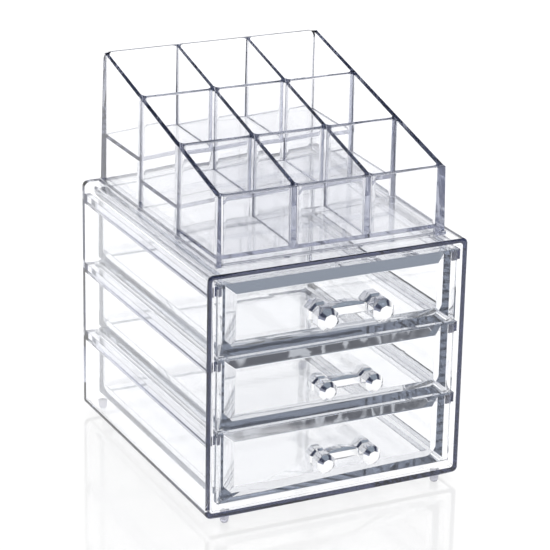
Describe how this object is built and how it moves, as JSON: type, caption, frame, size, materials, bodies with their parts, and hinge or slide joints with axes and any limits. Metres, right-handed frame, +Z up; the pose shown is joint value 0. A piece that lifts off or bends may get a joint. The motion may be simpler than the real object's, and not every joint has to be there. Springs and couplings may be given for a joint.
{
  "type": "cosmetics organizer with drawers",
  "caption": "Clear plastic cosmetics organizer: drawer cabinet with crystal-look handles and a stepped, open-topped compartment tray standing on it.",
  "frame": {"origin": "on the ground under the middle of the whole outline, handles included", "axes": "+X to the right as seen from the front, drawers open towards -Y, +Z up"},
  "size_m": [0.17, 0.2138, 0.2418],
  "materials": {
    "clear_cabinet": "polished clear polystyrene with a faint lavender tint",
    "clear_drawer": "polished clear polystyrene",
    "crystal_handle": "faceted clear acrylic, cut like crystal",
    "clear_tray": "polished clear polystyrene",
    "foot_rubber": "soft translucent grey studs"
  },
  "bodies": {
    "cabinet": {"cabinet_shell": "clear_cabinet", "foot_front_left": "foot_rubber", "foot_front_right": "foot_rubber", "foot_back_left": "foot_rubber", "foot_back_right": "foot_rubber"},
    "bottom_drawer": {"drawer_bottom": "clear_drawer", "knob_left_bottom": "crystal_handle", "knob_right_bottom": "crystal_handle", "handle_bar_bottom": "crystal_handle"},
    "middle_drawer": {"drawer_middle": "clear_drawer", "knob_left_middle": "crystal_handle", "knob_right_middle": "crystal_handle", "handle_bar_middle": "crystal_handle"},
    "top_drawer": {"drawer_top": "clear_drawer", "knob_left_top": "crystal_handle", "knob_right_top": "crystal_handle", "handle_bar_top": "crystal_handle"},
    "compartment_tray": {"tray": "clear_tray"}
  },
  "joints": [
    {"name": "bottom_drawer_slide", "type": "slide", "parent": "cabinet", "child": "bottom_drawer", "axis": [0, -1, 0], "range_m": [0, 0.13]},
    {"name": "middle_drawer_slide", "type": "slide", "parent": "cabinet", "child": "middle_drawer", "axis": [0, -1, 0], "range_m": [0, 0.13]},
    {"name": "top_drawer_slide", "type": "slide", "parent": "cabinet", "child": "top_drawer", "axis": [0, -1, 0], "range_m": [0, 0.13]},
    {"name": "tray_lift", "type": "slide", "parent": "cabinet", "child": "compartment_tray", "axis": [0, 0, 1], "range_m": [0, 0.09]}
  ]
}
